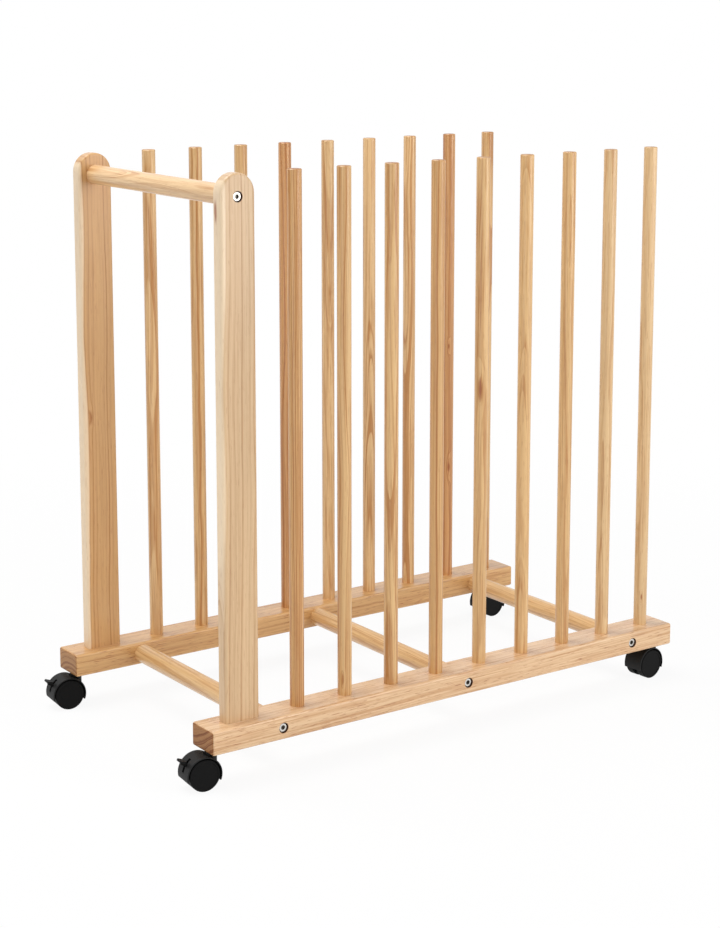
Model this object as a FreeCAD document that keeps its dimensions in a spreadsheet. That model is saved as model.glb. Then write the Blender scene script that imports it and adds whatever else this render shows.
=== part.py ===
import FreeCAD, Part
import math
import os
import Sketcher
from FreeCAD import Placement, Rotation, Vector

# Art drying rack on castors: two pine rails side by side carry upright dowel rods, and framed pictures,
# canvases or boards stand on edge in the slots between the rods. Two flat posts and a round bar at one
# end make the handle. Millimetres. +X runs from the handle end to the plain end, +Y is on the left of
# someone who stands at the handle end and looks along +X, +Z is up. The origin is on the floor, midway
# between the rails and midway along them.

SIZES = [
    # rails
    ("rail_width", 50, "width of a rail across the rack"),
    ("rail_height", 30, "height of a rail"),
    ("rail_edge", 3, "rounding of a rail's edges"),
    ("rail_gauge", 352, "from the middle of one rail to the middle of the other"),
    ("rail_tail", 37, "from the last rod's middle to the plain end of the rail"),
    # upright rods
    ("rod_count", 9, "rods on each rail"),
    ("rod_diameter", 18, "rod diameter"),
    ("rod_pitch", 72, "from one rod to the next"),
    ("rod_rise", 668, "height of rods and posts above the rail"),
    ("rod_seat", 20, "depth of the rods' blind holes"),
    ("rod_edge", 0.8, "chamfer of a rod's top edge"),
    ("rod_fit", 0.05, "radial clearance of a rod in its hole"),
    # posts
    ("post_width", 48, "width of a post along the rail"),
    ("post_thickness", 18, "thickness of a post"),
    ("post_inset", 28, "from the handle end of the rail to the post"),
    ("post_gap", 52, "clear gap from the post to the first rod"),
    ("post_seat", 20, "depth of the post's mortise"),
    ("post_edge", 3.5, "rounding of a post's long edges"),
    ("post_fit", 0.1, "clearance round a post in its mortise"),
    # bars
    ("bar_diameter", 25, "diameter of the handle bar and cross bars"),
    ("bar_count", 3, "cross bars between the rails"),
    ("bars_every", 4, "rods from one cross bar to the next"),
    ("handle_drop", 28, "from the post's top to the handle bar's axis"),
    # joint bolts and their threaded inserts
    ("bolt_diameter", 6, "bolt diameter"),
    ("head_diameter", 11.5, "bolt head diameter"),
    ("head_height", 6, "bolt head height"),
    ("head_chamfer", 0.7, "chamfer of the bolt head"),
    ("key_width", 5, "width across the flats of the hexagon socket"),
    ("key_depth", 3, "depth of the hexagon socket"),
    ("sink_diameter", 13, "diameter of the counterbore for a head"),
    ("sink_depth", 8, "depth of the counterbore"),
    ("bolt_reach", 17, "how far a bolt enters its bar"),
    ("bolt_fit", 0.1, "radial clearance of a bolt in the wood"),
    ("insert_diameter", 10, "outside diameter of a bar's threaded insert"),
    ("insert_length", 20, "length of a bar's threaded insert"),
    ("insert_fit", 0.05, "radial clearance of an insert, and of what is in it"),
    ("insert_spare", 0.5, "spare depth behind an insert"),
    # castor stems and the inserts that hold them in the rails
    ("stem_inset", 13, "from a rail's end to the castor stem"),
    ("stem_diameter", 8, "stem diameter"),
    ("stem_reach", 16, "how far the stem is screwed into the rail"),
    ("pin_diameter", 6, "diameter of the stem's plain pin"),
    ("pin_reach", 10, "how far the pin enters the castor's boss"),
    ("collar_diameter", 13, "diameter of the stem's collar"),
    ("collar_height", 1.6, "height of the stem's collar"),
    ("socket_diameter", 12, "outside diameter of the insert in the rail"),
    ("socket_length", 18, "length of the insert in the rail"),
    # castors
    ("wheel_radius", 20, "wheel radius"),
    ("wheel_width", 11, "width of one wheel"),
    ("wheel_gap", 1.8, "gap between tread and hood"),
    ("wheel_side_gap", 0.4, "gap between wheel and web"),
    ("wheel_bevel", 0.8, "chamfer of the tread's outer edge"),
    ("wheel_lip", 2.4, "width of the raised lip round the disc"),
    ("wheel_dish", 0.6, "depth of the disc inside its lip"),
    ("wheel_wall", 3, "wall of the disc and of the rim"),
    ("wheel_hub_radius", 6.5, "outside radius of the wheel's hub"),
    ("hood_wall", 1.5, "wall of the hood"),
    ("hood_width", 30, "width of the hood over both wheels"),
    ("hood_skirt", 5.5, "how far the hood reaches below the axle on its trailing side"),
    ("hood_apron", 8.5, "how far the hood reaches below the axle on its leading side"),
    ("hood_edge", 1, "rounding of the hood's edges"),
    ("hood_clearance", 3.7, "gap between the hood and the rail"),
    ("web_thickness", 7.2, "thickness of the web between the wheels"),
    ("hub_radius", 8, "radius of the web's hub"),
    ("stem_trail", 16, "from the stem's axis back to the axle"),
    ("boss_radius", 6, "radius of the swivel boss"),
    ("boss_depth", 18, "depth of the swivel boss"),
    ("rib_width", 8, "thickness of the rib between the boss and the hood"),
    ("rib_length", 10, "how far the rib reaches from the stem's axis"),
    ("rib_depth", 6, "depth of the rib"),
    ("boss_play", 0.4, "gap between the boss and the stem's collar"),
    ("axle_diameter", 6, "axle diameter"),
    ("axle_end", 2.6, "from the axle's end to the outer face of the disc"),
    ("running_fit", 0.05, "radial clearance of a turning pin or shaft"),
    # brake levers
    ("lever_angle", 147, "angle of the lever from the castor's leading side"),
    ("lever_thickness", 4, "thickness of the lever's arm"),
    ("lever_play", 0.3, "gap between the lever and its slot"),
    ("lever_sweep", 19, "how far the lever can swing each way in its slot"),
    ("lever_hub_radius", 6, "radius of the lever's hub"),
    ("lever_neck", 3.2, "depth of the lever's arm"),
    ("lever_reach", 7, "how far the lever's arm stands out of the hood"),
    ("tab_width", 12, "width of the lever's tab"),
    ("tab_length", 8.5, "length of the lever's tab"),
    ("tab_tilt", 12, "angle between the tab and the arm"),
    ("tab_reach", 34, "from the axle to the tab's tip, along the tab"),
    ("tab_rise", 8.6, "from the axle up to the tab, square to it"),
    ("tab_root", 3, "thickness of the tab at its root"),
    ("tab_tip", 2.2, "thickness of the tab at its tip"),
    ("tab_corner", 2.5, "rounding of the tab's corners"),
    # how the castors stand, turned about their stems
    ("turn_handle_right", -6.5, "turn of the right castor at the handle end"),
    ("turn_handle_left", -6.5, "turn of the left castor at the handle end"),
    ("turn_plain_right", 4.5, "turn of the right castor at the plain end"),
    ("turn_plain_left", 4, "turn of the left castor at the plain end"),
]

RIGHT, LEFT = -1, 1  # the sign of Y on each side

document = FreeCAD.newDocument("DryingRack")
nodes = {}


class Size:
    """A number that keeps the sheet expression it was worked out from."""

    def __init__(self, value, text):
        self.value = float(value)
        self.text = text

    def mix(self, other, sign, value):
        return Size(value, f"({self.text} {sign} {size_of(other).text})")

    def __add__(self, other):
        return self.mix(other, "+", self.value + size_of(other).value)

    def __sub__(self, other):
        return self.mix(other, "-", self.value - size_of(other).value)

    def __mul__(self, other):
        return self.mix(other, "*", self.value * size_of(other).value)

    def __truediv__(self, other):
        return self.mix(other, "/", self.value / size_of(other).value)

    def __radd__(self, other):
        return size_of(other) + self

    def __rsub__(self, other):
        return size_of(other) - self

    def __rmul__(self, other):
        return size_of(other) * self

    def __neg__(self):
        return size_of(0) - self


def size_of(number):
    return number if isinstance(number, Size) else Size(number, str(float(number)))


def root(size):
    return Size(math.sqrt(size.value), f"sqrt({size.text})")


def cosine(angle):
    return Size(math.cos(math.radians(angle.value)), f"cos({angle.text})")


def sine(angle):
    return Size(math.sin(math.radians(angle.value)), f"sin({angle.text})")


def write_sheet():
    """The driving dimensions, one to a row: name, value and what it is."""
    sheet = document.addObject("Spreadsheet::Sheet", "Sizes")
    for row, (name, value, note) in enumerate(SIZES, start=1):
        sheet.set(f"A{row}", name)
        sheet.set(f"B{row}", str(value))
        sheet.set(f"C{row}", note)
        sheet.setAlias(f"B{row}", name)
    document.recompute()
    return {name: Size(sheet.get(name), f"Sizes.{name}") for name, value, note in SIZES}


def bind(thing, member, size):
    thing.setExpression(member, size_of(size).text)


def new_body(name):
    body = document.addObject("PartDesign::Body", name)
    body.Label = name
    return body


def place(thing, x, y, z, turn=0):
    """Stand a piece at a place, turned about the upright axis, and keep it tied to the sheet."""
    thing.Placement = Placement(Vector(), Rotation(Vector(0, 0, 1), size_of(turn).value))
    for letter, amount in zip("xyz", (x, y, z)):
        bind(thing, f"Placement.Base.{letter}", amount)


def sketch_on(body, plane, shift=(0, 0, 0), turn=0):
    """A sketch on a plane of the body's own origin, shifted along its two axes and its normal."""
    origin_plane = next(feature for feature in body.Origin.OriginFeatures if feature.Role == plane)
    sketch = body.newObject("Sketcher::SketchObject", "Sketch")
    sketch.AttachmentSupport = [(origin_plane, "")]
    sketch.MapMode = "FlatFace"
    sketch.AttachmentOffset = Placement(Vector(), Rotation(Vector(0, 0, 1), size_of(turn).value))
    for letter, amount in zip("xyz", shift):
        bind(sketch, f"AttachmentOffset.Base.{letter}", amount)
    return sketch


def hold(sketch, kind, where, size):
    """A constraint whose value is tied to the sheet."""
    number = sketch.addConstraint(Sketcher.Constraint(kind, *where, size.value))
    bind(sketch, f"Constraints[{number}]", size)


def circle(sketch, x, y, radius):
    x, y, radius = size_of(x), size_of(y), size_of(radius)
    ring = Part.Circle(Vector(x.value, y.value, 0), Vector(0, 0, 1), radius.value)
    edge = sketch.addGeometry(ring, False)
    hold(sketch, "Radius", (edge,), radius)
    hold(sketch, "DistanceX", (-1, 1, edge, 3), x)
    hold(sketch, "DistanceY", (-1, 1, edge, 3), y)


def arc_between(start, end, radius):
    """The shorter arc from start to end, and which of its ends comes first along the outline."""
    chord = end - start
    across = Vector(-chord.y, chord.x, 0).normalize()
    rise = math.sqrt(max(0, radius**2 - (chord.Length / 2) ** 2))
    middle = (start + end) / 2 + across * math.copysign(rise, radius)
    ring = Part.Circle(middle, Vector(0, 0, 1), abs(radius))
    first, last = (start, end) if radius > 0 else (end, start)
    angles = [math.atan2(point.y - middle.y, point.x - middle.x) for point in (first, last)]
    return Part.ArcOfCircle(ring, *angles), (1, 2) if radius > 0 else (2, 1)


def outline(sketch, corners):
    """A closed outline. A corner is (x, y), or (x, y, radius) when an arc leaves it: the arc turns to
    the left for a positive radius and to the right for a negative one."""
    points = [(size_of(corner[0]), size_of(corner[1])) for corner in corners]
    spots = [Vector(x.value, y.value, 0) for x, y in points]
    edges = []
    for number, corner in enumerate(corners):
        start, end = spots[number], spots[(number + 1) % len(corners)]
        if len(corner) == 3:
            radius = size_of(corner[2])
            curve, ends = arc_between(start, end, radius.value)
        else:
            radius = None
            curve, ends = Part.LineSegment(start, end), (1, 2)
        edges.append((sketch.addGeometry(curve, False), ends, radius))
    for number, (edge, ends, radius) in enumerate(edges):
        after, after_ends, _ = edges[(number + 1) % len(edges)]
        sketch.addConstraint(Sketcher.Constraint("Coincident", edge, ends[1], after, after_ends[0]))
        hold(sketch, "DistanceX", (-1, 1, edge, ends[0]), points[number][0])
        hold(sketch, "DistanceY", (-1, 1, edge, ends[0]), points[number][1])
        if radius:
            hold(sketch, "Radius", (edge,), radius if radius.value > 0 else -radius)


def rectangle(sketch, x, y, length, width):
    """A rectangle centred on a point."""
    left, right = x - length / 2, x + length / 2
    low, high = y - width / 2, y + width / 2
    outline(sketch, [(left, low), (right, low), (right, high), (left, high)])


def rounded_rectangle(sketch, x, y, length, width, radius):
    """A rectangle centred on a point, with its corners rounded."""
    left, right = x - length / 2, x + length / 2
    low, high = y - width / 2, y + width / 2
    corners = [
        (left + radius, low),
        (right - radius, low, radius),
        (right, low + radius),
        (right, high - radius, radius),
        (right - radius, high),
        (left + radius, high, radius),
        (left, high - radius),
        (left, low + radius, radius),
    ]
    outline(sketch, corners)


def extrude(body, kind, sketch, length, both, reverse):
    before = body.Shape.Volume if body.Tip else 0
    feature = body.newObject(kind, kind.split("::")[1])
    feature.Profile = sketch
    feature.SideType = "Symmetric" if both else "One side"
    feature.Reversed = reverse
    bind(feature, "Length", length)
    document.recompute()
    change = body.Shape.Volume - before
    if abs(change) < 1e-3:
        raise ValueError(f"{feature.Label} changes nothing in {body.Label}")
    return feature


def pad(body, sketch, length, both=False, reverse=False):
    return extrude(body, "PartDesign::Pad", sketch, length, both, reverse)


def pocket(body, sketch, depth, both=False, reverse=False):
    return extrude(body, "PartDesign::Pocket", sketch, depth, both, reverse)


def revolve(body, sketch):
    """Turn a profile about its sketch's own upright axis."""
    feature = body.newObject("PartDesign::Revolution", "Revolution")
    feature.Profile = sketch
    feature.ReferenceAxis = (sketch, ["V_Axis"])
    feature.Angle = 360
    document.recompute()
    return feature


def repeat(body, features, sketch, spacing, count):
    """Repeat features along their sketch's horizontal axis."""
    pattern = body.newObject("PartDesign::LinearPattern", "Row")
    pattern.Originals = features
    pattern.Direction = (sketch, ["H_Axis"])
    bind(pattern, "Length", spacing * (count - 1))
    bind(pattern, "Occurrences", count)
    body.Tip = pattern
    document.recompute()


def dress_edges(body, kind, wanted, member, amount):
    tip = body.Tip
    names = [f"Edge{number}" for number, edge in enumerate(tip.Shape.Edges, 1) if wanted(edge)]
    feature = body.newObject(kind, kind.split("::")[1])
    feature.Base = (tip, names)
    bind(feature, member, amount)
    document.recompute()


def round_edges(body, wanted, radius):
    """Round those edges of the body so far that answer to the test."""
    dress_edges(body, "PartDesign::Fillet", wanted, "Radius", radius)


def chamfer_edges(body, wanted, width):
    """Chamfer those edges of the body so far that answer to the test."""
    dress_edges(body, "PartDesign::Chamfer", wanted, "Size", width)


def is_circle(edge, radius):
    return isinstance(edge.Curve, Part.Circle) and abs(edge.Curve.Radius - radius.value) < 1e-6


def lies_at(edge, axis, size):
    """Whether the whole edge lies at one value along an axis."""
    bounds = edge.BoundBox
    near = abs(getattr(bounds, f"{axis}Min") - size.value) < 1e-4
    return near and abs(getattr(bounds, f"{axis}Max") - size.value) < 1e-4


def group(name, pieces):
    """Like fasteners that share one node, each its own solid."""
    compound = document.addObject("Part::Compound", name)
    compound.Label = name
    compound.Links = pieces
    nodes[name] = compound


size = write_sheet()

# Places that several pieces share.
rod_radius = size["rod_diameter"] / 2
bar_radius = size["bar_diameter"] / 2
post_x = size["post_inset"] + size["post_width"] / 2
first_rod_x = size["post_inset"] + size["post_width"] + size["post_gap"] + rod_radius
rail_length = first_rod_x + (size["rod_count"] - 1) * size["rod_pitch"] + size["rail_tail"]
first_bar_x = first_rod_x - size["rod_pitch"] / 2
bar_pitch = size["bars_every"] * size["rod_pitch"]
hood_radius = size["wheel_radius"] + size["wheel_gap"] + size["hood_wall"]
axle_drop = size["hood_clearance"] + hood_radius
rail_z = axle_drop + size["wheel_radius"]
rail_top_z = rail_z + size["rail_height"]
half_gauge = size["rail_gauge"] / 2


def along(x):
    """From a distance along the rail to a place in the rack's frame."""
    return x - rail_length / 2


# Rails: planed square stock with rounded edges, bored from above for the rods, mortised for the post,
# counterbored from the outer side for the cross-bar bolts and bored from below for the castor inserts.
def rail(name, side):
    body = new_body(name)
    plan = sketch_on(body, "XY_Plane")
    rectangle(plan, rail_length / 2, size_of(0), rail_length, size["rail_width"])
    pad(body, plan, size["rail_height"])
    round_edges(body, lambda edge: True, size["rail_edge"])

    rods = sketch_on(body, "XY_Plane", (0, 0, size["rail_height"]))
    circle(rods, first_rod_x, 0, rod_radius + size["rod_fit"])
    holes = pocket(body, rods, size["rod_seat"])
    repeat(body, [holes], rods, size["rod_pitch"], size["rod_count"])

    mortise = sketch_on(body, "XY_Plane", (0, 0, size["rail_height"]))
    length = size["post_width"] + 2 * size["post_fit"]
    width = size["post_thickness"] + 2 * size["post_fit"]
    corner = size["post_edge"] + size["post_fit"]
    rounded_rectangle(mortise, post_x, size_of(0), length, width, corner)
    pocket(body, mortise, size["post_seat"])

    inward = side == LEFT
    outer = (0, 0, -side * size["rail_width"] / 2)
    sinks = sketch_on(body, "XZ_Plane", outer)
    circle(sinks, first_bar_x, size["rail_height"] / 2, size["sink_diameter"] / 2)
    sink = pocket(body, sinks, size["sink_depth"], reverse=inward)
    shanks = sketch_on(body, "XZ_Plane", outer)
    circle(shanks, first_bar_x, size["rail_height"] / 2, size["bolt_diameter"] / 2 + size["bolt_fit"])
    shank = pocket(body, shanks, size["rail_width"], reverse=inward)
    repeat(body, [sink, shank], shanks, bar_pitch, size["bar_count"])

    sockets = sketch_on(body, "XY_Plane")
    circle(sockets, size["stem_inset"], 0, size["socket_diameter"] / 2 + size["insert_fit"])
    socket = pocket(body, sockets, size["socket_length"] + size["insert_spare"], reverse=True)
    repeat(body, [socket], sockets, rail_length - 2 * size["stem_inset"], size_of(2))

    place(body, along(size_of(0)), side * half_gauge, rail_z)
    nodes[name] = body


# Rods: dowels glued into blind holes, their tops cut square with the edge just broken.
def rod(name, x, side):
    body = new_body(name)
    section = sketch_on(body, "XY_Plane")
    circle(section, 0, 0, rod_radius)
    height = size["rod_seat"] + size["rod_rise"]
    pad(body, section, height)
    chamfer_edges(body, lambda edge: lies_at(edge, "Z", height), size["rod_edge"])
    place(body, along(x), side * half_gauge, rail_top_z - size["rod_seat"])
    nodes[name] = body


# Posts: flat boards with a half-round top and well-rounded long edges, housed full size in the rail.
# One bolt goes through each post into the end of the handle bar, its head in a counterbore.
def post(name, side):
    body = new_body(name)
    face = sketch_on(body, "XZ_Plane")
    half = size["post_width"] / 2
    top = size["rod_rise"]
    shoulder = top - half
    corners = [(-half, -size["post_seat"]), (half, -size["post_seat"])]
    corners += [(half, shoulder, half), (0, top, half), (-half, shoulder)]
    outline(face, corners)
    pad(body, face, size["post_thickness"], both=True)
    edge_y = size["post_thickness"] / 2

    def on_outline(edge):
        on_face = lies_at(edge, "Y", edge_y) or lies_at(edge, "Y", -edge_y)
        return on_face and not lies_at(edge, "Z", -size["post_seat"])

    round_edges(body, on_outline, size["post_edge"])
    handle_z = top - size["handle_drop"]
    inward = side == LEFT
    outer = (0, 0, -side * edge_y)
    sink = sketch_on(body, "XZ_Plane", outer)
    circle(sink, 0, handle_z, size["sink_diameter"] / 2)
    pocket(body, sink, size["sink_depth"], reverse=inward)
    shank = sketch_on(body, "XZ_Plane", outer)
    circle(shank, 0, handle_z, size["bolt_diameter"] / 2 + size["bolt_fit"])
    pocket(body, shank, size["post_thickness"], reverse=inward)
    place(body, along(post_x), side * half_gauge, rail_top_z)
    nodes[name] = body


# Bars: thick dowels cut to length between the rails or the posts, with a threaded insert in each end.
def bar(name, x, z, length):
    body = new_body(name)
    section = sketch_on(body, "XZ_Plane")
    circle(section, 0, 0, bar_radius)
    pad(body, section, length, both=True)
    for side in (RIGHT, LEFT):
        end = sketch_on(body, "XZ_Plane", (0, 0, -side * length / 2))
        circle(end, 0, 0, size["insert_diameter"] / 2 + size["insert_fit"])
        depth = size["insert_length"] + size["insert_spare"]
        pocket(body, end, depth, reverse=side == LEFT)
    place(body, along(x), size_of(0), z)
    nodes[name] = body


# Joint bolts: nickel-plated socket-head screws that lie across the rack, head outermost.
def bolt(name, x, z, seat, length, side):
    body = new_body(name)
    profile = sketch_on(body, "XY_Plane")
    head, shank = size["head_diameter"] / 2, size["bolt_diameter"] / 2
    cut = size["head_chamfer"]
    top = size["head_height"]
    corners = [(0, -length), (shank, -length), (shank, 0), (head, 0)]
    corners += [(head, top - cut), (head - cut, top), (0, top)]
    outline(profile, corners)
    revolve(body, profile)
    key = sketch_on(body, "XZ_Plane", (0, 0, -top))
    reach = size["key_width"] / (2 * cosine(size_of(30)))
    spokes = [size_of(60 * number) for number in range(6)]
    outline(key, [(reach * cosine(angle), reach * sine(angle)) for angle in spokes])
    pocket(body, key, size["key_depth"], reverse=True)
    half_turn = 180 if side == RIGHT else 0
    place(body, along(x), side * seat, z, half_turn)
    return body


# Threaded inserts: plain sleeves here, flush with the wood that holds them.
def insert(name, plane, outside, bore, length):
    """A sleeve along its sketch's upright axis, with its mouth at the origin."""
    body = new_body(name)
    profile = sketch_on(body, plane)
    outline(profile, [(bore, -length), (outside, -length), (outside, 0), (bore, 0)])
    revolve(body, profile)
    return body


def joint_pair(number, kind, x, z, half_length, seat, length):
    """The bolts and inserts that hold one bar between its two rails or posts."""
    bolts, inserts = [], []
    for side in (RIGHT, LEFT):
        label = f"{kind}_{number}_{'right' if side == RIGHT else 'left'}"
        bolts.append(bolt(f"bolt_{label}", x, z, seat, length, side))
        bore = size["bolt_diameter"] / 2 + size["insert_fit"]
        outside = size["insert_diameter"] / 2
        sleeve = insert(f"insert_{label}", "XY_Plane", outside, bore, size["insert_length"])
        place(sleeve, along(x), side * half_length, z, 180 if side == RIGHT else 0)
        inserts.append(sleeve)
    return bolts, inserts


# Castor stems: steel pins screwed into the rail as far as a thin collar, with a plain pin below it.
def stem(name):
    body = new_body(name)
    profile = sketch_on(body, "XZ_Plane")
    radius, collar, pin = size["stem_diameter"] / 2, size["collar_diameter"] / 2, size["pin_diameter"] / 2
    under = -size["collar_height"]
    foot = under - size["boss_play"] - size["pin_reach"]
    corners = [(0, foot), (pin, foot), (pin, under), (collar, under), (collar, 0), (radius, 0)]
    corners += [(radius, size["stem_reach"]), (0, size["stem_reach"])]
    outline(profile, corners)
    revolve(body, profile)
    return body


# Castor housings: one moulding of black nylon with a hood over both wheels, a web with the axle's hub
# between them and a boss that turns on the stem, ribbed to the hood. At the handle end the web and the
# hood are slotted for the brake lever. The origin is on the stem's axis at the rail's underside, and
# the axle trails.
def housing(name, has_brake):
    body = new_body(name)
    axle = (-size["stem_trail"], -axle_drop, 0)
    skirt, apron = size["hood_skirt"], size["hood_apron"]
    ahead = root(hood_radius * hood_radius - apron * apron)
    behind = root(hood_radius * hood_radius - skirt * skirt)
    side = sketch_on(body, "XZ_Plane", axle)
    outline(side, [(ahead, -apron, hood_radius), (0, hood_radius, hood_radius), (-behind, -skirt)])
    pad(body, side, size["hood_width"], both=True)
    boss_top = size["collar_height"] + size["boss_play"]
    boss = sketch_on(body, "XY_Plane", (0, 0, -boss_top))
    circle(boss, 0, 0, size["boss_radius"])
    pad(body, boss, size["boss_depth"], reverse=True)
    chamfer_edges(body, lambda edge: lies_at(edge, "Z", -boss_top), size["head_chamfer"])
    rib = sketch_on(body, "XZ_Plane")
    rib_z = -boss_top - size["head_chamfer"] - size["rib_depth"] / 2
    rectangle(rib, -size["rib_length"] / 2, rib_z, size["rib_length"], size["rib_depth"])
    pad(body, rib, size["rib_width"], both=True)

    well = size["wheel_radius"] + size["wheel_gap"]
    half_web = size["web_thickness"] / 2
    for way in (RIGHT, LEFT):
        wheel_side = (-size["stem_trail"], -axle_drop, -way * half_web)
        opening = sketch_on(body, "XZ_Plane", wheel_side)
        circle(opening, 0, 0, well)
        pocket(body, opening, size["hood_width"], reverse=way == RIGHT)

    rim_y = size["hood_width"] / 2

    def on_rim(edge):
        return is_circle(edge, hood_radius) and (lies_at(edge, "Y", rim_y) or lies_at(edge, "Y", -rim_y))

    round_edges(body, on_rim, size["hood_edge"])
    hub = sketch_on(body, "XZ_Plane", axle)
    circle(hub, 0, 0, size["hub_radius"])
    pad(body, hub, size["web_thickness"], both=True)
    socket = sketch_on(body, "XY_Plane", (0, 0, -boss_top))
    circle(socket, 0, 0, size["pin_diameter"] / 2 + size["running_fit"])
    pocket(body, socket, size["pin_reach"] + size["insert_spare"])
    if has_brake:
        lever_slot(body, axle)
    bore = sketch_on(body, "XZ_Plane", axle)
    circle(bore, 0, 0, size["axle_diameter"] / 2 + size["running_fit"])
    pocket(body, bore, size["hood_width"], both=True)
    return body


def lever_slot(body, axle):
    """The slot that the brake lever swings in: round its hub, and a fan out through the hood whose
    sides stand clear of the arm at the ends of its swing."""
    width = size["lever_thickness"] + 2 * size["lever_play"]
    room = size["lever_hub_radius"] + size["lever_play"]
    inside, outside = room / 2, hood_radius + size["hood_wall"]
    side = size["lever_neck"] / 2 + size["lever_play"]
    across, ahead = sine(size["lever_sweep"]), cosine(size["lever_sweep"])
    near = (inside * ahead - side * across, inside * across + side * ahead)
    far = (outside * ahead - side * across, outside * across + side * ahead)
    fan = sketch_on(body, "XZ_Plane", axle, size["lever_angle"])
    bow = root(outside * outside + side * side)
    outline(fan, [(near[0], -near[1]), (far[0], -far[1], bow), far, near])
    pocket(body, fan, width, both=True)
    hollow = sketch_on(body, "XZ_Plane", axle)
    circle(hollow, 0, 0, room)
    pocket(body, hollow, width, both=True)


# Wheels: hard nylon, dished on the outer face inside a raised lip and hollow behind, on a blind hub.
def wheel(name, side):
    body = new_body(name)
    profile = sketch_on(body, "XY_Plane", (-size["stem_trail"], 0, -axle_drop))
    tread = size["wheel_radius"]
    inner = size["web_thickness"] / 2 + size["wheel_side_gap"]
    outer = inner + size["wheel_width"]
    bevel = size["wheel_bevel"]
    dish, wall = size["wheel_dish"], size["wheel_wall"]
    bore = size["axle_diameter"] / 2 + size["running_fit"]
    hub, lip = size["wheel_hub_radius"], tread - size["wheel_lip"]
    floor = outer - dish - wall
    bore_end = outer - size["axle_end"] + size["insert_spare"] / 2
    corners = [
        (bore, inner),
        (hub, inner),
        (hub, floor),
        (tread - wall, floor),
        (tread - wall, inner),
        (tread, inner),
        (tread, outer - bevel),
        (tread - bevel, outer),
        (lip, outer),
        (lip - dish, outer - dish),
        (0, outer - dish),
        (0, bore_end),
        (bore, bore_end),
    ]
    outline(profile, [(radius, side * offset) for radius, offset in corners])
    revolve(body, profile)
    return body


def axle(name):
    body = new_body(name)
    section = sketch_on(body, "XZ_Plane", (-size["stem_trail"], -axle_drop, 0))
    circle(section, 0, 0, size["axle_diameter"] / 2)
    outer = size["web_thickness"] / 2 + size["wheel_side_gap"] + size["wheel_width"]
    pad(body, section, 2 * (outer - size["axle_end"]), both=True)
    return body


# Brake levers: a flat arm that pivots on the axle inside the web and leaves the hood by its slot,
# with a wider thumb tab outside. They stand in the middle of the slot.
def lever(name):
    body = new_body(name)
    axle_place = (-size["stem_trail"], -axle_drop, 0)
    thickness, neck = size["lever_thickness"], size["lever_neck"] / 2
    hub = sketch_on(body, "XZ_Plane", axle_place, size["lever_angle"])
    circle(hub, 0, 0, size["lever_hub_radius"])
    pad(body, hub, thickness, both=True)
    arm = sketch_on(body, "XZ_Plane", axle_place, size["lever_angle"])
    arm_end = hood_radius + size["lever_reach"]
    outline(arm, [(neck, -neck), (arm_end, -neck), (arm_end, neck), (neck, neck)])
    pad(body, arm, thickness, both=True)
    tab = sketch_on(body, "XZ_Plane", axle_place, size["lever_angle"] + size["tab_tilt"])
    start, end = size["tab_reach"] - size["tab_length"], size["tab_reach"]
    middle, root_half, tip_half = -size["tab_rise"], size["tab_root"] / 2, size["tab_tip"] / 2
    corners = [(start, middle - root_half), (end, middle - tip_half)]
    corners += [(end, middle + tip_half), (start, middle + root_half)]
    outline(tab, corners)
    pad(body, tab, size["tab_width"], both=True)

    def tab_corner(edge):
        ends = [vertex.Point for vertex in edge.Vertexes]
        wide = all(abs(abs(point.y) - size["tab_width"].value / 2) < 1e-6 for point in ends)
        short = len(ends) == 2 and (ends[0] - ends[1]).Length < size["tab_tip"].value + 1e-6
        return wide and short

    round_edges(body, tab_corner, size["tab_corner"])
    bore = sketch_on(body, "XZ_Plane", axle_place)
    circle(bore, 0, 0, size["axle_diameter"] / 2 + size["running_fit"])
    pocket(body, bore, size["tab_width"], both=True)
    return body


def castor(end, side):
    """One castor under a rail's end: its own nodes, and its stem and insert for the shared groups."""
    hand = "right" if side == RIGHT else "left"
    where = f"{end}_{hand}"
    x = size["stem_inset"] if end == "handle" else rail_length - size["stem_inset"]
    turn = size[f"turn_{where}"]
    has_brake = end == "handle"
    pieces = {
        f"housing_{where}": housing(f"housing_{where}", has_brake),
        f"axle_{where}": axle(f"axle_{where}"),
        f"wheel_{where}_outer": wheel(f"wheel_{where}_outer", side),
        f"wheel_{where}_inner": wheel(f"wheel_{where}_inner", -side),
    }
    if has_brake:
        pieces[f"brake_lever_{hand}"] = lever(f"brake_lever_{hand}")
    nodes.update(pieces)
    pin = stem(f"stem_{where}")
    bore = size["stem_diameter"] / 2 + size["insert_fit"]
    outside = size["socket_diameter"] / 2
    sleeve = insert(f"socket_{where}", "XZ_Plane", outside, bore, size["socket_length"])
    for piece in [*pieces.values(), pin]:
        place(piece, along(x), side * half_gauge, rail_z, turn)
    place(sleeve, along(x), side * half_gauge, rail_z + size["socket_length"])
    return pin, sleeve


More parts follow.
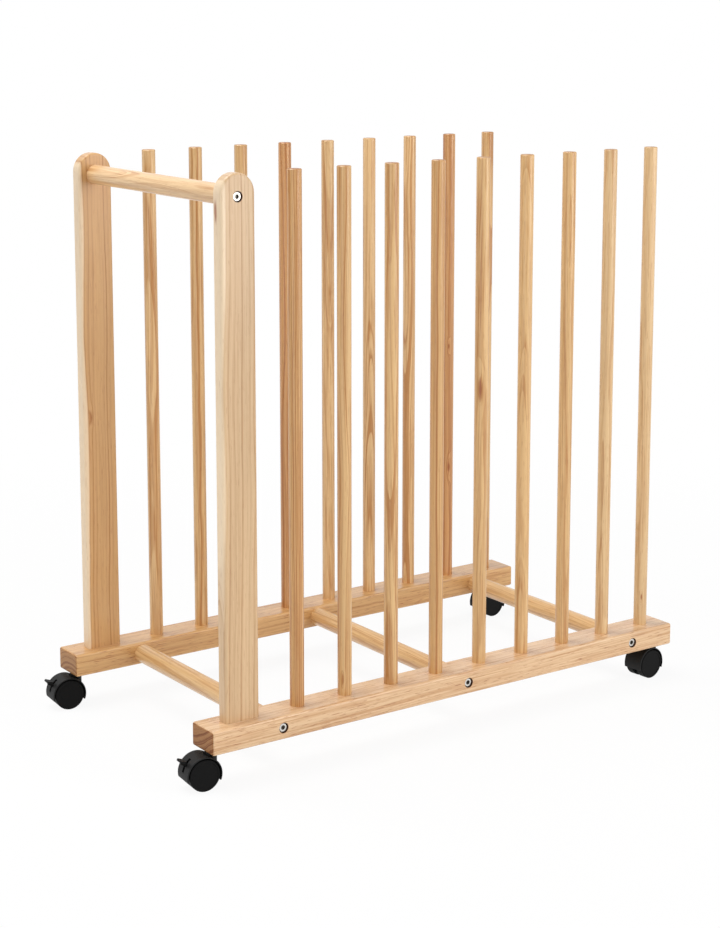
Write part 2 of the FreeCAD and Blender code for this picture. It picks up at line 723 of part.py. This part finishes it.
def build():
    for side, hand in ((RIGHT, "right"), (LEFT, "left")):
        rail(f"rail_{hand}", side)
        post(f"post_{hand}", side)
        for number in range(int(size["rod_count"].value)):
            rod(f"rod_{hand}_{number + 1}", first_rod_x + number * size["rod_pitch"], side)

    handle_z = rail_top_z + size["rod_rise"] - size["handle_drop"]
    post_length = size["rail_gauge"] - size["post_thickness"]
    bar("handle_bar", post_x, handle_z, post_length)
    seat = (size["rail_gauge"] + size["post_thickness"]) / 2 - size["sink_depth"]
    length = seat - post_length / 2 + size["bolt_reach"]
    handle_bolts, inserts = joint_pair(1, "handle", post_x, handle_z, post_length / 2, seat, length)

    bar_z = rail_z + size["rail_height"] / 2
    bar_length = size["rail_gauge"] - size["rail_width"]
    seat = (size["rail_gauge"] + size["rail_width"]) / 2 - size["sink_depth"]
    length = seat - bar_length / 2 + size["bolt_reach"]
    rail_bolts = []
    for number in range(int(size["bar_count"].value)):
        x = first_bar_x + number * bar_pitch
        bar(f"cross_bar_{number + 1}", x, bar_z, bar_length)
        bolts, sleeves = joint_pair(number + 1, "rail", x, bar_z, bar_length / 2, seat, length)
        rail_bolts += bolts
        inserts += sleeves
    group("handle_bolts", handle_bolts)
    group("rail_bolts", rail_bolts)
    group("bar_inserts", inserts)

    castors = [castor(end, side) for end in ("handle", "plain") for side in (RIGHT, LEFT)]
    group("castor_stems", [pin for pin, sleeve in castors])
    group("castor_inserts", [sleeve for pin, sleeve in castors])


def check_and_write():
    """Refuse a failed feature or a bad shape, then write each node's file."""
    document.recompute()
    failed = [thing.Label for thing in document.Objects if {"Invalid", "Error"} & set(thing.State)]
    failed += [name for name, thing in nodes.items() if thing.Shape.isNull() or not thing.Shape.isValid()]
    if failed:
        raise ValueError(f"these didn't build: {failed}")
    os.makedirs("parts", exist_ok=True)
    for name, thing in nodes.items():
        thing.Shape.exportStep(f"parts/{name}.step")
    print(f"{len(nodes)} nodes written")


build()
check_and_write()
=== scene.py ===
import bpy
import math
import random
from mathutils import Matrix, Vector


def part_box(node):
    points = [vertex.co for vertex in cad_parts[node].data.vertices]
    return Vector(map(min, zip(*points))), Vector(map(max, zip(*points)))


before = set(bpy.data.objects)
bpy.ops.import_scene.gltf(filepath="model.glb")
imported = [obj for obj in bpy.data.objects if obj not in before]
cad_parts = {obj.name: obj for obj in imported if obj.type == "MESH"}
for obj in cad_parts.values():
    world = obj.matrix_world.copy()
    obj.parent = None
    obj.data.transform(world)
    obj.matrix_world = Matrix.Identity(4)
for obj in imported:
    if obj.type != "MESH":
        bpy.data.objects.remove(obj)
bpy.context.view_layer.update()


# Rails. Two planed pine boards that carry everything else, bored for the rods and bolts and
# housed for the posts. Their growth rings show as long lines down the sides and as arcs on the
# sawn ends. Like all the wood they are under one thin coat of satin lacquer.
def paint(red, green, blue):
    """A colour in screen values from 0 to 255, as the linear values that shaders take."""
    shares = [value / 255 for value in (red, green, blue)]
    linear = [s / 12.92 if s < 0.04 else ((s + 0.055) / 1.055) ** 2.4 for s in shares]
    return (*linear, 1.0)


class Wire:
    """A socket of a material's nodes. Arithmetic on wires adds Math nodes."""

    def __init__(self, tree, socket=None):
        self.tree = tree
        self.socket = socket

    def add(self, kind, inputs, output=0, **settings):
        """Adds a node with its settings, then a wire or a value for each socket in inputs."""
        node = self.tree.nodes.new("ShaderNode" + kind)
        for name, setting in settings.items():
            setattr(node, name, setting)
        for name, value in inputs.items():
            if isinstance(value, Wire):
                self.tree.links.new(value.socket, node.inputs[name])
            else:
                node.inputs[name].default_value = value
        return Wire(self.tree, node.outputs[output])

    def maths(self, operation, first, second=0.0):
        return self.add("Math", {0: first, 1: second}, operation=operation)

    def __add__(self, other):
        return self.maths("ADD", self, other)

    def __radd__(self, other):
        return self.maths("ADD", other, self)

    def __sub__(self, other):
        return self.maths("SUBTRACT", self, other)

    def __rsub__(self, other):
        return self.maths("SUBTRACT", other, self)

    def __mul__(self, other):
        return self.maths("MULTIPLY", self, other)

    def __rmul__(self, other):
        return self.maths("MULTIPLY", other, self)

    def __truediv__(self, other):
        return self.maths("DIVIDE", self, other)

    def __rtruediv__(self, other):
        return self.maths("DIVIDE", other, self)

    def vector(self, operation, other=(0.0, 0.0, 0.0), output=0):
        return self.add("VectorMath", {0: self, 1: other}, output, operation=operation)

    def times(self, factor):
        """A colour or a vector, brighter or longer by factor."""
        return self.add("VectorMath", {0: self, "Scale": factor}, operation="SCALE")

    def far_from(self, middle, shares=(1.0, 1.0, 1.0)):
        """The distance from middle, to which each axis adds only its share."""
        away = self.vector("SUBTRACT", middle).vector("MULTIPLY", shares)
        return away.vector("LENGTH", output="Value")

    def rise(self, start, end):
        """0 below start and 1 above end, with a smooth slope between."""
        inputs = {"Value": self, "From Min": start, "From Max": end}
        return self.add("MapRange", inputs, interpolation_type="SMOOTHSTEP")

    def blend(self, other, factor, how="MIX"):
        """This colour where factor is 0 and the other, or their product, where it is 1."""
        inputs = {0: factor, 6: self, 7: other}
        return self.add("Mix", inputs, 2, data_type="RGBA", blend_type=how)

    def flecks(self, width, length, detail=2.0, output=0):
        """Noise in blotches of that width, and of that length along the third axis."""
        stretched = self.vector("MULTIPLY", (1 / width, 1 / width, 1 / length))
        return self.add("TexNoise", {"Vector": stretched, "Scale": 1.0, "Detail": detail}, output)

    def wander(self, width, length, reach):
        """A vector that drifts by up to half of reach each way, over that width and length."""
        noise = self.flecks(width, length, 1.0, "Color")
        return noise.vector("SUBTRACT", (0.5, 0.5, 0.5)).times(reach)

    def feed(self, shader, socket):
        self.tree.links.new(self.socket, shader.inputs[socket])

    def emboss(self, shader, strength, height):
        """Raises the surface by that height where this is 1."""
        relief = {"Height": self, "Strength": strength, "Distance": height}
        self.add("Bump", relief).feed(shader, "Normal")


def new_finish(name):
    """An empty material, its Principled shader and a wire to start from."""
    material = bpy.data.materials.new(name)
    material.use_nodes = True
    shader = material.node_tree.nodes["Principled BSDF"]
    return material, shader, Wire(material.node_tree)


def coat(node, material):
    """Gives a CAD node its finish."""
    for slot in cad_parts[node].material_slots:
        slot.material = material


def middle_of(node):
    """The middle of a CAD node's box."""
    low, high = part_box(node)
    return (low + high) / 2


# What a ring's dark late wood, a pore and a sawn end leave of the red, green and blue of a tone.
LATE_WOOD = (0.66, 0.47, 0.31, 1.0)
PORE = (0.62, 0.42, 0.33, 1.0)
END_GRAIN = (0.47, 0.32, 0.20, 1.0)
# A pale tone of painted light for the posts' outer narrow faces.
PAINTED_LIGHT_TONE = paint(246, 221, 186)
KNOT = paint(158, 86, 42)
# Painted shade for the walls of the counterbores round the bolts' heads.
PAINTED_BORE_SHADE = paint(84, 50, 24)

# The figure's sizes in metres, across the grain and then along it. The two bends of the rings
# end with how far they reach.
SWAY = (0.07, 0.3, 0.016)
RIPPLE = (0.02, 0.11, 0.003)
FIBRES = (0.0017, 0.06)
PORES = (0.0009, 0.016)
CLOUDS = (0.03, 0.35)
BAND_WIDTH = 0.0030
# The width over which the painted light fades in.
PAINTED_LIGHT_EDGE = 0.003

# How strong the parts of the figure are. An edge is the two values between which a part fades
# in, and the seed's step puts each piece at a stretch of timber of its own.
SEED_STEP = 3.7
SPACING_PACE, SPACING_REACH = 0.6, 1.5
LATE_END = 0.92
WEAKEST_RING = 0.4
RINGS_ON_ENDS = 1.6
BAND_EDGE = (0.48, 0.58)
PORE_EDGE = (0.63, 0.71)
SAWN_EDGE = (0.6, 0.9)
# How much the painted light pales the posts' outer faces, and how strongly a knot shows.
PAINTED_LIGHT_SHARE, KNOT_SHARE = 0.88, 0.85
CLOUD_REACH = 0.2
LATE_ON_ENDS = 0.6

# A knot is drawn out along an upright board, and so are the rings that flow round it. The edges
# are in radii of the knot. HALO_FIBRES says which fibres its dark halo has soaked into.
KNOT_AXES, FLOW_AXES = (1.0, 1.0, 0.24), (1.0, 1.0, 0.22)
KNOT_EDGE, FLOW_EDGE, HALO_EDGE = (0.4, 1.3), (0.4, 4.0), (0.4, 2.4)
KNOT_FRAY, FLOW_REACH = 3.0, 0.8
HALO_FIBRES = (0.35, 0.7)

# How rough the wood is, with what fibres and sawn ends add, and how much lacquer is on it, with
# what the ends soak up. The fibres stand up a little, and the pores and late wood lie lower.
ROUGH, ROUGH_FIBRES, ROUGH_ENDS = 0.36, 0.12, 0.18
LACQUER, SOAKED_UP = 0.7, 0.6
FIBRES_UP, PORES_DOWN, LATE_DOWN = 0.5, 0.6, 0.3
RELIEF_STRENGTH, RELIEF_HEIGHT = 0.3, 0.0003

# Radius of a counterbore for a bolt's head, width of the soft edge of the painted shade inside
# it, and the axes that count for a distance from a bore along y.
COUNTERBORE = 0.00655
BORE_SHADE_EDGE = 0.0003
DOWN_A_BORE = (1.0, 0.0, 1.0)


def deepened(tone):
    """The darker, redder colour that the late wood of a ring has."""
    return tuple(value * share for value, share in zip(tone, LATE_WOOD))


def pine(node, grain, heart, ring, tone, seed, cut, knots=(), counterbores=(), painted_light_from=1.0):
    """Pine whose growth rings are that far apart and run round a line through heart along grain.

    The line is where the middle of the tree was, so its place decides how the rings meet the
    faces. Heart and knots are measured from the piece's middle, and a knot ends with its radius.
    Counterbores are (x, z), and their walls get painted shade. The last argument is how far from
    the heart the painted light starts, a pale tone on the outer faces.
    """
    material, shader, start = new_finish("pine_" + node)
    surface = start.add("TexCoord", {}, "Object")
    middle = middle_of(node)
    turn = Vector(grain).to_track_quat("Z", "Y").to_euler()
    inside = {"Vector": surface, "Location": middle + Vector(heart), "Rotation": turn}
    place = start.add("Mapping", inside, vector_type="TEXTURE")
    place = place.vector("ADD", (0.0, 0.0, seed * SEED_STEP))

    # The rings, bent by the tree's growth and by its knots, and the late wood in each of them.
    sway = place.wander(*SWAY)
    bent = place.vector("ADD", sway).vector("ADD", place.wander(*RIPPLE))
    depth = bent.far_from((0.0, 0.0, 0.0), (1.0, 1.0, 0.0))
    rings = depth / ring
    fibre = place.flecks(*FIBRES)
    knotty = halo = 0.0
    for *offset, radius in knots:
        knot = middle + Vector(offset)
        flow = surface.far_from(knot, FLOW_AXES) / radius
        rings = rings + (1 - flow.rise(*FLOW_EDGE)) * FLOW_REACH
        core = surface.far_from(knot, KNOT_AXES) / radius
        knotty = 1 - (core + (fibre - 0.5) * KNOT_FRAY).rise(*KNOT_EDGE) + knotty
        halo = (1 - flow.rise(*HALO_EDGE)) * fibre.rise(*HALO_FIBRES) + halo
    widths = start.add("TexNoise", {"W": rings * SPACING_PACE + seed}, noise_dimensions="1D")
    rings = rings + widths * SPACING_REACH
    phase = start.maths("FRACT", rings)
    number = start.maths("FLOOR", rings)
    strength = start.add("TexWhiteNoise", {"W": number + seed}, noise_dimensions="1D")
    late = phase.rise(cut["late"], LATE_END) * (1 - phase.rise(LATE_END, 1.0))
    late = late * (strength * (1 - WEAKEST_RING) + WEAKEST_RING)

    # What shows besides the rings, and where a face is sawn across the grain.
    bands = place.vector("ADD", sway.times(0.5)).flecks(BAND_WIDTH, cut["run"], 1.0)
    bands = bands.rise(*BAND_EDGE)
    cloud = place.flecks(*CLOUDS, 1.0)
    pores = place.flecks(*PORES, 1.0).rise(*PORE_EDGE)
    along = Vector(grain).normalized()
    facing = start.add("TexCoord", {}, "Normal").vector("DOT_PRODUCT", along, "Value")
    sawn = start.maths("ABSOLUTE", facing).rise(*SAWN_EDGE)
    ends = sawn * cut["ends"]

    # Colour, from the tone to its deeper shade, then the pitted and sawn places, the painted
    # light on outer faces and the painted shade in counterbores.
    darker = late * (ends * (RINGS_ON_ENDS - cut["rings"]) + cut["rings"])
    darker = darker + bands * (1 - sawn) * cut["bands"] + halo + (fibre - 0.5) * cut["fibres"]
    colour = start.add("Mix", {0: darker, 6: tone, 7: deepened(tone)}, 2, data_type="RGBA")
    # Painted light: far enough from the heart, the outer faces turn to a pale tone.
    painted_light = depth.rise(painted_light_from, painted_light_from + PAINTED_LIGHT_EDGE)
    colour = colour.blend(PAINTED_LIGHT_TONE, painted_light * PAINTED_LIGHT_SHARE)
    colour = colour.times(1 + (cloud - 0.5) * CLOUD_REACH)
    colour = colour.blend(PORE, pores * (1 - sawn) * cut["pores"], "MULTIPLY")
    colour = colour.blend(END_GRAIN, ends, "MULTIPLY")
    colour = colour.blend(END_GRAIN, ends * late * LATE_ON_ENDS, "MULTIPLY")
    if knots:
        colour = colour.blend(KNOT, knotty * KNOT_SHARE)
    # Painted shade on the walls of each counterbore round a bolt's head.
    for x, z in counterbores:
        across = surface.far_from((x, 0.0, z), DOWN_A_BORE)
        bore_shade = 1 - across.rise(COUNTERBORE, COUNTERBORE + BORE_SHADE_EDGE)
        colour = colour.blend(PAINTED_BORE_SHADE, bore_shade)
    colour.feed(shader, "Base Color")

    # Lacquer, which stands on the wood and sinks into the sawn ends.
    (fibre * ROUGH_FIBRES + ends * ROUGH_ENDS + ROUGH).feed(shader, "Roughness")
    (LACQUER - ends * SOAKED_UP).feed(shader, "Coat Weight")
    height = fibre * FIBRES_UP - pores * PORES_DOWN - late * LATE_DOWN
    height.emboss(shader, RELIEF_STRENGTH, RELIEF_HEIGHT)
    shader.inputs["Specular IOR Level"].default_value = 0.3
    shader.inputs["Coat Roughness"].default_value = 0.22
    coat(node, material)


# How strongly a kind of piece shows its rings, the soft bands where a ring is cut at a slant, its
# fibres, its pores and the darkness of its ends, which sanding takes away. Then how far a band
# runs, and where in a ring the late wood starts.
BOARD = dict(rings=0.45, bands=0.35, fibres=1.1, pores=1.0, ends=1.0, run=0.12, late=0.35)
PALER_ENDS = dict(BOARD, ends=0.72)
ROSY = paint(235, 198, 155)
AMBER = paint(221, 175, 116)
CROSS_BARS = ("cross_bar_1", "cross_bar_2", "cross_bar_3")
BAR_BOLTS = [middle_of(bar).xz for bar in CROSS_BARS]
pine("rail_right", grain=(1, 0.004, 0.012), heart=(0.0, 0.031, 0.078), ring=0.0075,
     tone=ROSY, seed=3, cut=BOARD, counterbores=BAR_BOLTS)
pine("rail_left", grain=(1, -0.006, 0.010), heart=(0.0, -0.011, -0.038), ring=0.0070,
     tone=AMBER, seed=8, cut=PALER_ENDS, counterbores=BAR_BOLTS)


# Cross bars. Three thick pine dowels between the rails, butted against their inner faces and
# drawn up by a bolt at each end. They are from one board, each from a little further down.
PLAIN = dict(rings=0.7, bands=0.3, fibres=0.7, pores=0.4, ends=0.8, run=0.1, late=0.5)
BAR_TONE = paint(233, 192, 135)
HEART_BESIDE, HEART_STEP = 0.034, 0.012
for number, bar in enumerate(CROSS_BARS, start=1):
    heart = (HEART_BESIDE, 0.0, HEART_STEP * number)
    pine(bar, grain=(0.014, 1, 0.006), heart=heart, ring=0.0058, tone=BAR_TONE,
         seed=20 + number, cut=PLAIN)


# Upright rods. Eighteen pine dowels glued into holes in the rails, from many boards: how far
# and on which side the heart of the tree lay differs from rod to rod, and so does the colour.
DOWEL = dict(rings=1.1, bands=0.5, fibres=0.75, pores=0.35, ends=0.8, run=0.16, late=0.5)
FIGURED = dict(rings=1.25, bands=0.45, fibres=0.6, pores=0.3, ends=0.8, run=0.5, late=0.4)
STRAW = paint(235, 196, 141)
WHEAT = paint(230, 194, 143)
HONEY = paint(227, 186, 129)
RUSSET = paint(213, 160, 104)
ROD_TONES = {
    "right": (AMBER, HONEY, HONEY, AMBER, HONEY, HONEY, HONEY, WHEAT, WHEAT),
    "left": (STRAW, HONEY, HONEY, RUSSET, STRAW, STRAW, STRAW, RUSSET, HONEY),
}
ROD_KNOTS = {
    "rod_right_2": [(-0.0075, -0.007, -0.303, 0.0012)],
    "rod_right_5": [(-0.0064, -0.007, 0.046, 0.0026)],
    "rod_right_9": [(-0.005, -0.008, -0.283, 0.0010)],
    "rod_left_8": [(-0.004, -0.008, 0.029, 0.0010), (-0.003, -0.008, -0.155, 0.0018)],
}
PLAIN_RODS = ("rod_right_6", "rod_right_7", "rod_right_8", "rod_right_9")

# Rods with long flames of wide rings: the heart's bearing in degrees and distance, and the rings'
# spacing. The others draw theirs from the ranges below, and these keep a fifth of the lean.
WIDE_RINGED = {
    "rod_right_1": (-35, 0.050, 0.0066),
    "rod_right_2": (-35, 0.058, 0.0110),
    "rod_right_4": (145, 0.050, 0.0085),
    "rod_left_4": (-35, 0.047, 0.0075),
    "rod_left_8": (145, 0.056, 0.0085),
}
HEART_DISTANCES = (0.012, 0.045)
GRAIN_LEANS = (-0.02, 0.02)
RING_SPACINGS = (0.0055, 0.0095)
ROD_SEEDS = (30, 90)
STRAIGHTENED = 0.2
draw = random.Random(12)
for side, tones in ROD_TONES.items():
    for number, tone in enumerate(tones, start=1):
        node = f"rod_{side}_{number}"
        bearing, distance = draw.uniform(0, 360), draw.uniform(*HEART_DISTANCES)
        lean_x, lean_y = draw.uniform(*GRAIN_LEANS), draw.uniform(*GRAIN_LEANS)
        spacing, seed = draw.uniform(*RING_SPACINGS), draw.uniform(*ROD_SEEDS)
        cut = PLAIN if node in PLAIN_RODS else DOWEL
        if node in WIDE_RINGED:
            cut, lean_x, lean_y = FIGURED, lean_x * STRAIGHTENED, lean_y * STRAIGHTENED
            bearing, distance, spacing = WIDE_RINGED[node]
        heading = Vector((math.cos(math.radians(bearing)), math.sin(math.radians(bearing)), 0))
        heart, grain = heading * distance, (lean_x, lean_y, 1)
        pine(node, grain, heart, spacing, tone, seed, cut, ROD_KNOTS.get(node, ()))


# Posts. Two pine boards with half-round tops and rounded arrises, housed in the rails at the
# handle end. The rings run as long lines down the wide faces, and the outer narrow faces get
# painted light, a pale tone.
POST = dict(rings=1.0, bands=0.12, fibres=0.7, pores=0.35, ends=0.0, run=0.3, late=0.55)
CREAM = paint(219, 185, 142)
TAWNY = paint(213, 167, 111)
PAINTED_LIGHT_FROM = 0.104
HANDLE_BOLT = [(middle_of("post_right").x, middle_of("handle_bar").z)]
pine("post_right", grain=(0.006, 0, 1), heart=(0.083, -0.004, -0.001), ring=0.0058,
     tone=CREAM, seed=5, cut=POST, knots=[(-0.0245, 0.0015, 0.299, 0.0030)],
     counterbores=HANDLE_BOLT, painted_light_from=PAINTED_LIGHT_FROM)
pine("post_left", grain=(0.0015, 0, 1), heart=(0.083, -0.006, -0.001), ring=0.0052,
     tone=TAWNY, seed=11, cut=POST, knots=[(-0.013, -0.010, -0.006, 0.0014)],
     counterbores=HANDLE_BOLT, painted_light_from=PAINTED_LIGHT_FROM)


# Handle bar. A thick pine dowel between the posts, butted against their inner faces. A bolt
# through each post draws it up, as with the cross bars.
HANDLE_CUT = dict(PLAIN, rings=1.1, late=0.6)
HANDLE_TONE = paint(243, 205, 154)
pine("handle_bar", grain=(0.01, 1, -0.004), heart=(0.030, 0, -0.018), ring=0.006,
     tone=HANDLE_TONE, seed=15, cut=HANDLE_CUT)


# Bolts. Nickel-plated socket heads, sunk in counterbores, with threaded inserts of zinc-plated
# steel in the bars and under the rails. The castors' stems and axles are zinc-plated as well.
# The hexagon socket's radius, the width of its edge, and the colour of the painted shade inside
# it.
SOCKET = 0.0029
SOCKET_EDGE = 0.0002
SOCKET_SHADE = paint(120, 116, 110)
CLOUDING, CLOUDED_ROUGHNESS, DULLED = 0.004, 0.12, 0.86
TURNING_MARKS, MARKS_STRENGTH, MARKS_HEIGHT = 0.0004, 0.2, 0.00005


def metal(name, colour, roughness, nodes, sockets=()):
    """Plated steel with fine turning marks and a faint uneven shine.

    Sockets are the (x, z) of hexagon sockets, whose insides get painted shade.
    """
    material, shader, start = new_finish(name)
    place = start.add("TexCoord", {}, "Object")
    # Painted shade inside each hexagon socket.
    dark = 0.0
    for x, z in sockets:
        across = place.far_from((x, 0.0, z), DOWN_A_BORE)
        dark = 1 - across.rise(SOCKET, SOCKET + SOCKET_EDGE) + dark
    cloud = place.flecks(CLOUDING, CLOUDING)
    dull = tuple(value * DULLED for value in colour)
    plated = start.add("Mix", {0: cloud, 6: colour, 7: dull}, 2, data_type="RGBA")
    if sockets:
        plated = plated.blend(SOCKET_SHADE, dark)
    plated.feed(shader, "Base Color")
    (cloud * CLOUDED_ROUGHNESS + roughness).feed(shader, "Roughness")
    marks = place.flecks(TURNING_MARKS, TURNING_MARKS)
    marks.emboss(shader, MARKS_STRENGTH, MARKS_HEIGHT)
    shader.inputs["Metallic"].default_value = 1.0
    for node in nodes:
        coat(node, material)


bolts = ("handle_bolts", "rail_bolts")
metal("nickel_plate", paint(226, 222, 216), 0.2, bolts, sockets=BAR_BOLTS + HANDLE_BOLT)
axles = [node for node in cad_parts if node.startswith("axle_")]
steel = ["bar_inserts", "castor_inserts", "castor_stems", *axles]
metal("zinc_plate", paint(176, 180, 184), 0.32, steel)


# Castors. Twin wheels under a moulded hood of black nylon, with stems that screw into the rails'
# undersides near the ends. The mould leaves a fine grain on the hood, and the wheels are darker.
PATCHES, PATCH_ROUGHNESS, PALER = 0.012, 0.08, 1.3
PIT_ROUGHNESS, PIT_STRENGTH, PIT_DEPTH = 0.1, 0.4, 0.0001


def nylon(name, colour, roughness, shine, grain, nodes):
    """Black moulded nylon with the mould's fine grain, of that size, and paler patches."""
    material, shader, start = new_finish(name)
    place = start.add("TexCoord", {}, "Object")
    pits = place.flecks(grain, grain)
    patch = place.flecks(PATCHES, PATCHES)
    paler = tuple(value * PALER for value in colour)
    moulded = start.add("Mix", {0: patch, 6: colour, 7: paler}, 2, data_type="RGBA")
    moulded.feed(shader, "Base Color")
    (pits * PIT_ROUGHNESS + patch * PATCH_ROUGHNESS + roughness).feed(shader, "Roughness")
    pits.emboss(shader, PIT_STRENGTH, PIT_DEPTH)
    shader.inputs["Specular IOR Level"].default_value = shine
    for node in nodes:
        coat(node, material)


hoods = [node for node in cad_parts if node.startswith("housing_")]
levers = [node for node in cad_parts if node.startswith("brake_lever_")]
wheels = [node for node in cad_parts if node.startswith("wheel_")]
nylon("hood_nylon", paint(18, 18, 18), roughness=0.46, shine=0.24, grain=0.0006, nodes=hoods)
nylon("lever_nylon", paint(16, 16, 16), roughness=0.5, shine=0.15, grain=0.0006, nodes=levers)
nylon("wheel_nylon", paint(12, 12, 12), roughness=0.5, shine=0.1, grain=0.0009, nodes=wheels)


# Studio. A white floor that runs out of sight, an even room that is brighter in front of the
# rack, and three soft boxes: a tall one in front of the right rail, one overhead, and a weak
# low one that lightens the underside of the handle bar.
ROOM_LIGHT = 0.40
FROM_THE_FRONT = 0.34
FRONT = (-0.80, -0.60, -0.05)
FLOOR_SIZE = 60.0
FLOOR_COLOUR = (0.8, 0.8, 0.8, 1.0)
SHADOW_COLOUR = (0.97, 0.97, 0.97, 1.0)
WHITE = (1.0, 1.0, 1.0, 1.0)
NEAR_GLOW = 0.92
SHADOW_ENDS = (0.6, 1.6)


def seen_from_camera(start):
    """1 for what the camera sees directly, in a mirror or through glass."""
    straight = start.add("LightPath", {}, "Is Camera Ray")
    mirrored = start.add("LightPath", {}, "Is Glossy Ray")
    through = start.add("LightPath", {}, "Is Transmission Ray")
    return start.maths("MAXIMUM", start.maths("MAXIMUM", straight, mirrored), through)


world = bpy.data.worlds.new("studio")
bpy.context.scene.world = world
world.use_nodes = True
air = Wire(world.node_tree)
front = air.add("TexCoord", {}, "Generated").vector("DOT_PRODUCT", FRONT, "Value")
backdrop = world.node_tree.nodes["Background"]
backdrop.inputs["Color"].default_value = WHITE
room = front * FROM_THE_FRONT + ROOM_LIGHT
(room + seen_from_camera(air) * (1 - room)).feed(backdrop, "Strength")

# The lamps light a plain white floor. The camera sees it glow instead, with only a faint shadow
# near the rack.
bpy.ops.object.select_all(action="DESELECT")
bpy.ops.mesh.primitive_plane_add(size=FLOOR_SIZE, location=(0.0, 0.0, 0.0))
floor = bpy.context.object
floor.name = "floor"
material, shader, start = new_finish("white_floor")
shader.inputs["Base Color"].default_value = FLOOR_COLOUR
shader.inputs["Roughness"].default_value = 0.9
lit = start.add("BsdfDiffuse", {"Color": SHADOW_COLOUR})
glow = start.add("Emission", {"Color": WHITE, "Strength": 1.0})
away = start.add("TexCoord", {}, "Object").far_from((0.0, 0.0, 0.0)).rise(*SHADOW_ENDS)
shown = start.add("MixShader", {0: NEAR_GLOW + away * (1 - NEAR_GLOW), 1: lit, 2: glow})
plain = Wire(start.tree, shader.outputs[0])
mixed = start.add("MixShader", {0: seen_from_camera(start), 1: plain, 2: shown})
mixed.feed(start.tree.nodes["Material Output"], "Surface")
floor.data.materials.append(material)


def lamp(name, place, aim, width, height, power):
    """A soft box that faces the point aim."""
    data = bpy.data.lights.new(name, "AREA")
    data.shape = "RECTANGLE"
    data.size = width
    data.size_y = height
    data.energy = power
    box = bpy.data.objects.new(name, data)
    bpy.context.scene.collection.objects.link(box)
    box.location = place
    box.rotation_euler = (Vector(aim) - Vector(place)).to_track_quat("-Z", "Y").to_euler()


lamp("tall_lamp", (1.6, -2.9, 1.4), aim=(0.0, 0.0, 1.1), width=1.9, height=2.6, power=54)
lamp("overhead_lamp", (-0.8, 0.5, 3.1), aim=(0.0, 0.0, 0.4), width=1.6, height=1.6, power=57)
lamp("low_lamp", (-1.9, -1.0, 0.3), aim=(-0.3, 0.0, 0.6), width=1.0, height=0.4, power=2.2)


# Camera. It stands off the right corner of the handle end, a little higher than the rods, looks
# down along the rack and is shifted so that the rack fills the frame.
FOCAL_LENGTH = 80.0
LENS_SHIFT = -0.14
CAMERA_PLACE = (-1.588, -2.227, 0.961)
CAMERA_TURN = 35.18
CAMERA_TILT = 9.62
view = bpy.data.cameras.new("camera")
view.lens = FOCAL_LENGTH
view.shift_y = LENS_SHIFT
view.clip_start = 0.05
camera = bpy.data.objects.new("camera", view)
bpy.context.scene.collection.objects.link(camera)
camera.location = CAMERA_PLACE
camera.rotation_euler = (math.radians(90 - CAMERA_TILT), 0.0, -math.radians(CAMERA_TURN))
bpy.context.scene.camera = camera
bpy.context.scene.view_settings.view_transform = "Standard"
